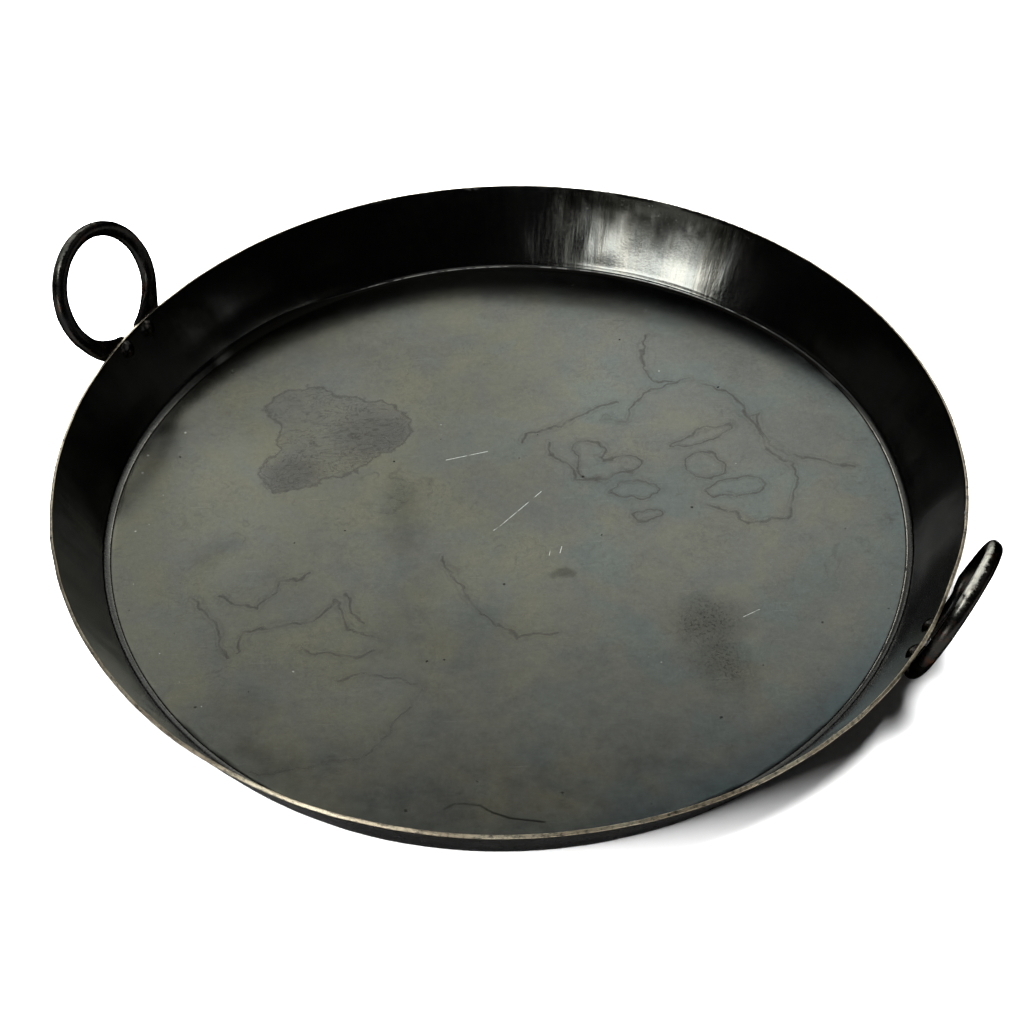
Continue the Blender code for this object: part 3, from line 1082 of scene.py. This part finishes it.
    # bright cuts, glints at the edge and fine scratches
    near_left = ramp(radius, low=190, high=206) * ramp(x, low=-120, high=-175)
    need = ramp(near_left, low=0.0, high=1.0, start=0.975, end=0.55)
    near_right = ramp(radius, low=196, high=212) * ramp(heading, low=0.5, high=1.0)
    glints = spots(
        flat + (91.0, 33.0, 0.0),
        spacing=6.5,
        width=0.085 + near_left * 0.085,
        need=need - near_right * 0.25,
    )
    cut = line(strokes(flat, BRIGHT_CUTS), half=0.02, soft=0.32)
    cut = cut * ramp(noise(flat, size=5, detail=2), low=0.30, high=0.55)
    scratches = []
    for turn, shift in ((14, 0.0), (-52, 130.0), (73, 260.0)):
        streak = stretched(flat + (shift, shift, 0.0), turn, x=0.022, y=1.5)
        streak = noise(streak, size=1.0, detail=2, rough=0.6)
        scratches.append(ramp(streak, low=0.70, high=0.78))
    scratch = reduce(operator.add, scratches)
    tone = mix(tone, to=(0.46, 0.49, 0.45), share=clamped(cut + glints * 0.5))
    tone = mix(tone, to=(0.34, 0.36, 0.31), share=clamped(scratch * 0.20))
    # painted shade in the scored groove at the floor's edge
    groove = ramp(reach, low=221.1, high=221.45)
    tone = mix(tone, to=(0.020, 0.020, 0.018), share=groove * 0.7)

    rough = 0.205 + swing(small, 0.09)
    rough += swing(mid, 0.07)
    for mark, amount in ((lines, 0.10), (patch_tint, 0.05), (dark, 0.15), (dots, 0.2)):
        rough += mark * amount
    relief = small * 0.30 + tiny * 0.10 + dots * -0.5
    return principled(tone, rough, bump=relief, strength=0.55, depth=0.12 * MM)


def worn_rim(tone, around, z, radius, azimuth):
    """The sheared rim, worn to bare metal that has gone straw-coloured. Gives
    the tone with it laid on, how bare the place is, and the fine noise."""
    wear = attribute("wear")
    rim_noise = noise(join(around, z * 1.5, radius), size=2.4, detail=4, rough=0.65)
    rim_patch = noise(join(around, 0.0, 9.0), size=30, detail=2)
    rough_back = toward(azimuth, degrees=68, low=0.94, high=0.985)
    worn = wear + swing(rim_noise, 0.5)
    worn += rough_back * ((rim_noise - 0.42) * 1.6)
    bare = ramp(worn, low=0.72, high=1.12) * ramp(wear, low=0.03, high=0.2)
    patchy = ramp(rim_patch, low=0.38, high=0.62)
    straw = mix((0.98, 0.88, 0.64), to=(0.74, 0.63, 0.44), share=patchy)
    straw = mix(straw, to=(0.62, 0.62, 0.57), share=rough_back * 0.7)
    # painted shade: the bare straw is dimmed toward the front left, where the brightest lamp falls
    # on the rim
    painted_shade_front_left = toward(azimuth, degrees=232, low=0.45, high=0.95)
    straw = tint(straw, 1.0 - painted_shade_front_left * 0.35)
    pitted = ramp(rim_noise, low=0.30, high=0.52, start=0.75, end=0.0)
    straw = mix(straw, to=(0.10, 0.075, 0.05), share=pitted)
    return mix(tone, to=straw, share=bare), bare, rim_noise


def sheet_wall():
    """The inside of the wall, its rolled foot and the rim: darker scale with
    streaks that run up it, darker places at the back, and a few bright nicks."""
    _, x, y, z = shop_axes()
    radius = vector_maths("LENGTH", join(x, y, 0.0))
    reach = attribute("reach")
    azimuth = maths("ARCTAN2", y, x)
    around = azimuth * 236.0
    wall_map = join(around, z * 1.14, radius * 0.05)
    streaks = noise(stretched(wall_map, turn=0, x=1.0, y=0.10), size=2.4, detail=4, rough=0.6)
    long_streaks = noise(stretched(wall_map, turn=0, x=1.0, y=0.07), size=9.0, rough=0.55)
    pits = noise(wall_map, size=1.6, rough=0.65)
    shade = 0.78 + swing(streaks, 0.28)
    shade += swing(long_streaks, 0.35)
    shade += swing(pits, 0.18)
    streaky = ramp(long_streaks, low=0.35, high=0.65)
    tone = mix((0.150, 0.158, 0.152), to=(0.160, 0.160, 0.146), share=streaky)
    tone = tint(tone, shade)

    # darker below the rim at the back, hanging down in ragged tongues
    tongue = noise(stretched(wall_map, turn=0, x=1.0, y=0.30), size=13.0)
    darker_top_back = ramp(z + swing(tongue, 38), low=15, high=40)
    darker_top_back = darker_top_back * toward(azimuth, degrees=66, low=0.90, high=0.98)
    fleck = ramp(noise(wall_map, size=1.9, detail=5, rough=0.75), low=0.60, high=0.72)
    darker_top_back = darker_top_back * (1.0 - fleck * 0.75)
    tone = mix(tone, to=(0.006, 0.006, 0.005), share=darker_top_back * 0.97)
    nicks = stretched(wall_map, turn=0, x=1.0, y=0.45)
    nicks = spots(nicks, spacing=6.0, width=0.09, need=0.93)
    tone = mix(tone, to=(0.62, 0.64, 0.60), share=nicks * 0.8)

    # the band between floor and wall keeps the floor's greyer tone
    rounded = 1.0 - toward(azimuth, degrees=69.5, low=0.50, high=0.78)
    band = fade(reach, low=225.3, high=225.7) * rounded
    rightward = ramp(maths("COSINE", azimuth), low=0.15, high=0.75)
    band_tone = mix((0.125, 0.130, 0.118), to=(0.066, 0.068, 0.061), share=rightward)
    tone = mix(tone, to=tint(band_tone, 0.5 + pits), share=band * 0.9)

    # the scored line and the bend: painted shade in the groove and the fold, and a
    # rubbed lip between, with a painted highlight on it where it faces the lamps
    lip_wear_and_highlight = ramp(reach, low=221.90, high=222.05) * fade(reach, low=222.40, high=222.65)
    # the lip's painted highlight is strongest at the right and weaker at the left
    gleam = toward(azimuth, degrees=-6, low=0.80, high=0.95)
    gleam = clamped(gleam + toward(azimuth, degrees=165, low=0.93, high=0.99) * 0.5)
    broken = ramp(noise(join(around, 0.0, 0.0), size=9, rough=0.6), low=0.34, high=0.5)
    lip_wear_and_highlight = lip_wear_and_highlight * ((0.15 + gleam * 0.85) * broken)
    groove = fade(reach, low=221.90, high=222.10)
    wander = swing(noise(join(around, 0.0, 5.0), size=3.5, rough=0.6), 1.1)
    fold = fade(abs(reach + wander - 225.40), low=0.20, high=0.75) * rounded
    behind = toward(azimuth, degrees=85, low=0.30, high=0.62)
    # at the back the band is darkened nearly black and made dull
    dark_dull_back = behind * fade(reach - rounded * 2.8, low=223.5, high=223.9)
    tone = mix(tone, to=(0.020, 0.020, 0.018), share=groove * 0.75)
    tone = mix(tone, to=(0.012, 0.012, 0.011), share=fold * 0.85)
    tone = mix(tone, to=(0.66, 0.63, 0.54), share=lip_wear_and_highlight * (1.0 - behind))
    tone = mix(tone, to=(0.0006, 0.0006, 0.0005), share=dark_dull_back)
    scored = ramp(reach, low=223.85, high=224.0) * fade(reach, low=224.2, high=224.4)
    middle = toward(azimuth, degrees=80, low=0.78, high=0.92)
    broken = noise(join(around, 0.0, 3.0), size=7, detail=4, rough=0.7)
    scored = scored * (middle * ramp(broken, low=0.44, high=0.64))
    tone = mix(tone, to=(0.020, 0.020, 0.018), share=scored)
    tone, bare, rim_noise = worn_rim(tone, around, z, radius, azimuth)

    rough = 0.155 + swing(streaks, 0.10)
    rough += swing(pits, 0.10)
    rough += darker_top_back * 0.04
    rough = mix_number(rough, to=0.30, share=band * 0.8)
    rough = mix_number(rough, to=0.50, share=dark_dull_back)
    rough = mix_number(rough, to=0.42, share=bare)
    glance = 1.0 - clamped(dark_dull_back + fold + darker_top_back) * 0.9
    relief = streaks * 1.1 + pits * 0.40
    relief += darker_top_back * fleck * 0.8
    relief += bare * rim_noise * 1.2
    # the darkest of the back band and the scored line aren't metallic and don't shine
    dull = clamped(ramp(dark_dull_back, low=0.88, high=1.0) + scored * 0.9)
    return principled(
        tone, rough, metal=1.0 - dull, bump=relief, strength=0.55, depth=0.12 * MM,
        Specular_Tint=tint((1.0, 1.0, 1.0), glance),
        Specular_IOR_Level=(1.0 - dull) * 0.5,
    )  # fmt: skip


def sheet_outside():
    """The outside and underside: rubbed scale with a little rust."""
    position, x, y, z = shop_axes()
    radius = vector_maths("LENGTH", join(x, y, 0.0))
    azimuth = maths("ARCTAN2", y, x)
    around = azimuth * 236.0
    shade = 0.80 + swing(noise(position, size=16, detail=4, rough=0.6), 0.6)
    shade += swing(noise(position, size=2.2, detail=4, rough=0.6), 0.35)
    patchy = ramp(noise(position, size=30), low=0.4, high=0.65)
    tone = mix((0.062, 0.063, 0.062), to=(0.070, 0.066, 0.058), share=patchy)
    tone = tint(tone, shade)
    rust = ramp(noise(position, size=7, detail=5, rough=0.7), low=0.60, high=0.74)
    rust = rust * ramp(noise(position, size=45, detail=2), low=0.48, high=0.62)
    tone = mix(tone, to=(0.080, 0.044, 0.026), share=rust * 0.5)

    # the flat of the underside is scuffed where the pan is pushed about
    under = fade(z, low=1.0, high=3.0)
    bowed = position + scale(noise(position, size=70, detail=2, colour=True), 60.0)
    scuff, cross = (
        ramp(noise(stretched(bowed, turn, x=0.08, y=1.0), size=1.5, rough=0.6), low=0.60, high=0.76)
        for turn in (33, -48)
    )
    scuff = scuff * ramp(noise(position, size=60), low=0.42, high=0.60)
    scuff = clamped(scuff + cross * 0.6)
    outer = ramp(radius, low=150, high=216, start=0.25)
    tone = mix(tone, to=(0.27, 0.27, 0.26), share=scuff * under * (outer * 0.5))
    tone, bare, rim_noise = worn_rim(tone, around, z, radius, azimuth)
    rough = 0.30 + swing(noise(position, size=5), 0.2)
    rough += rust * 0.2
    rough = mix_number(rough, to=0.42, share=bare)
    relief = noise(position, size=3.0, detail=4, rough=0.6) * 0.9
    relief += noise(position, size=1.1, rough=0.6) * 0.15
    relief += rust * 0.5
    relief += bare * rim_noise * 1.2
    return principled(
        tone, rough, bump=relief, strength=0.55, depth=0.15 * MM, Specular_Tint=(0.16, 0.16, 0.16)
    )


def forged_bar():
    """Black forge scale, rubbed bright where a hand and a hook have worn it,
    with a painted highlight on its faces turned up and to the left.
    """
    position, x, _, z = shop_axes()
    normal = value("ShaderNodeNewGeometry", output="Normal")
    lean_x, lean_y, facing_up = split(normal)
    facing_the_lamps = facing_up * 0.84 + (
        lean_x * (-0.54 * math.cos(TURN)) + lean_y * (-0.54 * math.sin(TURN))
    )
    broad = noise(position, size=14, rough=0.55)
    mid = noise(position, size=4.0, detail=4, rough=0.6, distort=0.4)
    fine = noise(position, size=0.9, detail=4, rough=0.65)
    shade = 0.85 + (swing(broad, 0.7) + swing(mid, 0.5))
    patchy = ramp(broad, low=0.35, high=0.65)
    tone = mix((0.022, 0.023, 0.022), to=(0.030, 0.028, 0.025), share=patchy)
    tone = tint(tone, shade)
    # rubbed grey on top of the ring, and a painted highlight: it is laid on the
    #     # faces turned up and to the left, toward the lamps, most on the right ring
    torn = swing(noise(position, size=2.2, detail=4, rough=0.7), 0.9)
    rub_and_highlight = ramp(facing_the_lamps + torn, low=0.56, high=0.80) * ramp(z + mid * 10, low=101, high=111)
    rub_and_highlight = rub_and_highlight * ramp(x, low=-40, high=40, start=0.30)
    rub_and_highlight = rub_and_highlight * ramp(mid + fine * 0.5, low=0.40, high=0.80)
    tone = mix(tone, to=(0.60, 0.60, 0.52), share=rub_and_highlight)
    # rust bloom in patches
    bloom = ramp(noise(position, size=6, detail=5, rough=0.7), low=0.52, high=0.70)
    bloom = bloom * ramp(noise(position, size=22, detail=2), low=0.44, high=0.60)
    tone = mix(tone, to=(0.075, 0.030, 0.014), share=bloom * 0.65)
    nicks = stretched(position, turn=30, x=1.0, y=0.4)
    nicks = spots(nicks, spacing=7.0, width=0.10, need=0.86)
    tone = mix(tone, to=(0.50, 0.49, 0.44), share=nicks * 0.7)
    rough = 0.27 + swing(mid, 0.16)
    rough += bloom * 0.25
    rough += rub_and_highlight * 0.16
    relief = broad * 1.2 + mid * 0.6
    relief += fine * 0.15
    relief += bloom * 0.2
    return principled(
        tone, rough, metal=1.0 - rub_and_highlight * 0.07, bump=relief, strength=0.4, depth=0.08 * MM,
        Specular_Tint=(0.10, 0.10, 0.10),
    )  # fmt: skip


def rivet_steel():
    """Hammered rivet heads: mottled black with a bloom of rust."""
    position = shop_millimetres()
    mid = noise(position, size=2.6, detail=4, rough=0.6)
    fine = noise(position, size=0.6, detail=4, rough=0.65)
    mottled = ramp(mid, low=0.35, high=0.65)
    tone = mix((0.045, 0.046, 0.045), to=(0.085, 0.080, 0.070), share=mottled)
    bloom = ramp(noise(position, size=3.4, detail=5, rough=0.7), low=0.56, high=0.72)
    tone = mix(tone, to=(0.10, 0.050, 0.026), share=bloom * 0.5)
    return principled(
        tone, rough=0.24 + swing(mid, 0.25), bump=mid + fine * 0.3, strength=0.6,
        depth=0.12 * MM, Specular_Tint=(0.12, 0.12, 0.12),
    )  # fmt: skip


def pale_paper():
    """Lit well past white for the camera, and calmer in the pan's reflections."""
    rays = add_node("ShaderNodeLightPath")
    glossy = Value(rays.outputs["Is Glossy Ray"])
    shade = mix_number(0.86, to=0.20, share=glossy)
    shade += swing(noise(shop_millimetres(), size=90), 0.02)
    white = tint((1.0, 1.0, 1.0), shade)
    paper = principled(white, rough=0.9, metal=0.0, Specular_IOR_Level=0.0)
    # from below it gives way, so that the underside of the pan can be looked at
    below = value("ShaderNodeNewGeometry", output="Backfacing")
    touching = glossy * (Value(rays.outputs["Ray Length"]) < 0.0015)
    clear = value("ShaderNodeBsdfTransparent")
    return value("ShaderNodeMixShader", {0: clamped(below + touching), 1: paper, 2: clear})


def dress(made, *materials):
    """Gives the materials to the object, and the first to all its faces."""
    made.data.materials.clear()
    for material in materials:
        made.data.materials.append(material)
    for face in made.data.polygons:
        face.material_index = 0


def dress_pan():
    """Floor, wall with the rim, and outside each have their own finish."""
    dress(
        pan,
        new_material("seasoned_sheet_floor", sheet_floor),
        new_material("seasoned_sheet_wall", sheet_wall),
        new_material("seasoned_sheet_outside", sheet_outside),
    )
    mesh = pan.data
    side, reach = (np.zeros(len(mesh.vertices), np.float32) for _ in range(2))
    mesh.attributes["side"].data.foreach_get("value", side)
    mesh.attributes["reach"].data.foreach_get("value", reach)
    for face in mesh.polygons:
        if float(np.mean([side[v] for v in face.vertices])) < 0.45:
            face.material_index = 2
        elif max(float(reach[v]) for v in face.vertices) > 221.7:
            face.material_index = 1


dress_pan()
bar = new_material("black_forged_bar", forged_bar)
for made in handles.values():
    dress(made, bar)
head = new_material("hammered_rivet_steel", rivet_steel)
for made, _ in rivets:
    dress(made, head)

# --------------------------------------------------------------- riding the CAD
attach(pan, "root")
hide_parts("pan_body")
for side, made in handles.items():
    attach(made, "root")
    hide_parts(f"{side}_ring_handle")
for made, node_name in rivets:
    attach(made, "root")
    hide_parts(node_name)

# ----------------------------------------------------------------- studio floor
FLOOR_HALF, PAPER_Z = 6, -0.4 * MM
CORNERS = ((-1, -1), (1, -1), (1, 1), (-1, 1))

mesh = bpy.data.meshes.new("studio_floor")
mesh.from_pydata(
    [(x * FLOOR_HALF, y * FLOOR_HALF, PAPER_Z) for x, y in CORNERS], [], [(0, 1, 2, 3)]
)
link("studio_floor", mesh)
mesh.materials.append(new_material("pale_paper", pale_paper))

# ----------------------------------------------------------------------- camera
# It looks at the rim's middle from the front, but for small turns, in radians.
DISTANCE = 5.25793  # in rim radii
ELEVATION = 0.77965  # over the rim's plane
ROLL, AIM_SIDE, AIM_UP = 0.02641, -0.00104, 0.01806


def turned_axes(first, second, angle):
    cosine, sine = math.cos(angle), math.sin(angle)
    return cosine * first + sine * second, -sine * first + cosine * second


def rim_vector(direction):
    """Turns a direction of the rim's level frame into the part frame."""
    return Vector(rim_frame_to_part(*direction) - rim_frame_to_part(0.0, 0.0, 0.0)).normalized()


def add_camera():
    right = np.array((1.0, 0.0, 0.0))
    back = np.array((0.0, -math.cos(ELEVATION), math.sin(ELEVATION)))
    up = np.array((0.0, math.sin(ELEVATION), math.cos(ELEVATION)))
    right, ahead = turned_axes(right, -back, AIM_SIDE)
    up, ahead = turned_axes(up, ahead, AIM_UP)
    right, _ = turned_axes(right, up, -ROLL)
    axis_x = rim_vector(right)
    axis_z = rim_vector(-ahead)
    axis_y = axis_z.cross(axis_x).normalized()
    axis_x = axis_y.cross(axis_z).normalized()
    spot = Vector(rim_frame_to_part(*(back * DISTANCE * RIM_RADIUS)))
    data = bpy.data.cameras.new("camera")
    data.sensor_width = 36.0
    data.lens = 84.375
    data.clip_start, data.clip_end = 0.05, 40
    camera = link("camera", data)
    turned = Matrix((axis_x, axis_y, axis_z)).transposed().to_4x4()
    camera.matrix_world = Matrix.Translation(spot) @ turned
    bpy.context.scene.camera = camera


add_camera()

# ----------------------------------------------------------------------- lights
# The studio as the shiny sheet sees it: each softbox is (shop azimuth from, to,
# elevation from, to, strength, softness of its edge in degrees, colour). The
# backdrop is plain white, and the suns that light the floor don't show in it.
WHITE = (1.0, 1.0, 1.0)
SOFTBOXES = (
    (80, 98, 22, 43, 1.60, 5, WHITE),
    (40, 132, 41, 50.5, 1.65, 5, WHITE),
    (38, 80, 22, 41, 0.55, 5, WHITE),
    (118, 134, 22, 43, 1.20, 5, WHITE),
    (52, 127, 8, 16, 1.30, 3, WHITE),
    (112, 128, -2, 8, 4.5, 4, WHITE),
    (218, 248, 7, 16, 10.5, 3, (1.0, 1.0, 0.96)),
    (202, 226, 48, 66, 9.0, 5, WHITE),
    (226, 244, 47, 57, 2.5, 4, WHITE),
    (165, 205, 66, 76, 0.8, 5, WHITE),
    (240, 300, 27, 62, 0.34, 6, WHITE),
    (-30, 24, 26, 60, 0.34, 6, WHITE),
    (150, 190, 26, 60, 0.34, 6, WHITE),
    (-180, 180, 77, 95, 0.34, 8, WHITE),
    (-180, 180, -85, -14, 0.40, 8, WHITE),
)
DARK_STUDIO = 0.003  # between the softboxes
SKY_STRENGTH, BACKDROP_STRENGTH = 0.02, 1.05
# (name, shop azimuth, elevation, strength, spread), angles in degrees
SUNS = (("key", 140, 82.5, 17.0, 39), ("fill", 206, 28, 10.0, 26))


def softbox(x, y, elevation, box):
    """The light of one softbox in the direction (x, y, z)."""
    from_azimuth, to_azimuth, bottom, top, strength, soft, colour = box
    middle = math.radians((from_azimuth + to_azimuth) / 2) + TURN
    flat = maths("MAXIMUM", (x * x + y * y) ** 0.5, 1e-4)
    along = x * math.cos(middle) + y * math.sin(middle)
    away = maths("ARCCOSINE", maths("MINIMUM", along / flat, 1.0)) * (180 / math.pi)
    half = (to_azimuth - from_azimuth) / 2
    lit = fade(away, half - soft, half + soft)
    lit = lit * ramp(elevation, bottom - soft / 2, bottom + soft / 2)
    lit = lit * fade(elevation, top - soft / 2, top + soft / 2)
    return tint(colour, lit * strength)


def studio_world():
    world = bpy.data.worlds.new("studio")
    start_tree(world)
    x, y, z = split(value("ShaderNodeTexCoord", output="Generated"))
    elevation = maths("ARCSINE", z) * (180 / math.pi)
    lit = [softbox(x, y, elevation, box) for box in SOFTBOXES] + [(DARK_STUDIO,) * 3]
    total = reduce(lambda sum_, box: mix(sum_, box, share=1.0, blend="ADD"), lit)
    rays = add_node("ShaderNodeLightPath")
    boxes = value("ShaderNodeBackground", {"Color": total})
    sky = value("ShaderNodeBackground", {"Color": WHITE, "Strength": SKY_STRENGTH})
    backdrop = value("ShaderNodeBackground", {"Color": WHITE, "Strength": BACKDROP_STRENGTH})
    glossy, seen = (Value(rays.outputs[f"Is {kind} Ray"]) for kind in ("Glossy", "Camera"))
    for_shiny = value("ShaderNodeMixShader", {0: glossy, 1: sky, 2: boxes})
    for_all = value("ShaderNodeMixShader", {0: seen, 1: for_shiny, 2: backdrop})
    add_node("ShaderNodeOutputWorld", {"Surface": for_all})
    world.cycles.sampling_method = "NONE"
    return world


def add_sun(name, azimuth, elevation, strength, spread):
    sun = bpy.data.lights.new(name, "SUN")
    sun.energy = strength
    sun.angle = math.radians(spread)
    made = link(name, sun)
    around = math.radians(azimuth) + TURN
    up = math.radians(elevation)
    toward_sun = Vector(
        (math.cos(around) * math.cos(up), math.sin(around) * math.cos(up), math.sin(up))
    )
    made.rotation_euler = toward_sun.to_track_quat("Z", "Y").to_euler()
    made.visible_glossy = False


bpy.context.scene.world = studio_world()
for sun_settings in SUNS:
    add_sun(*sun_settings)

bpy.context.scene.view_settings.view_transform = "Standard"
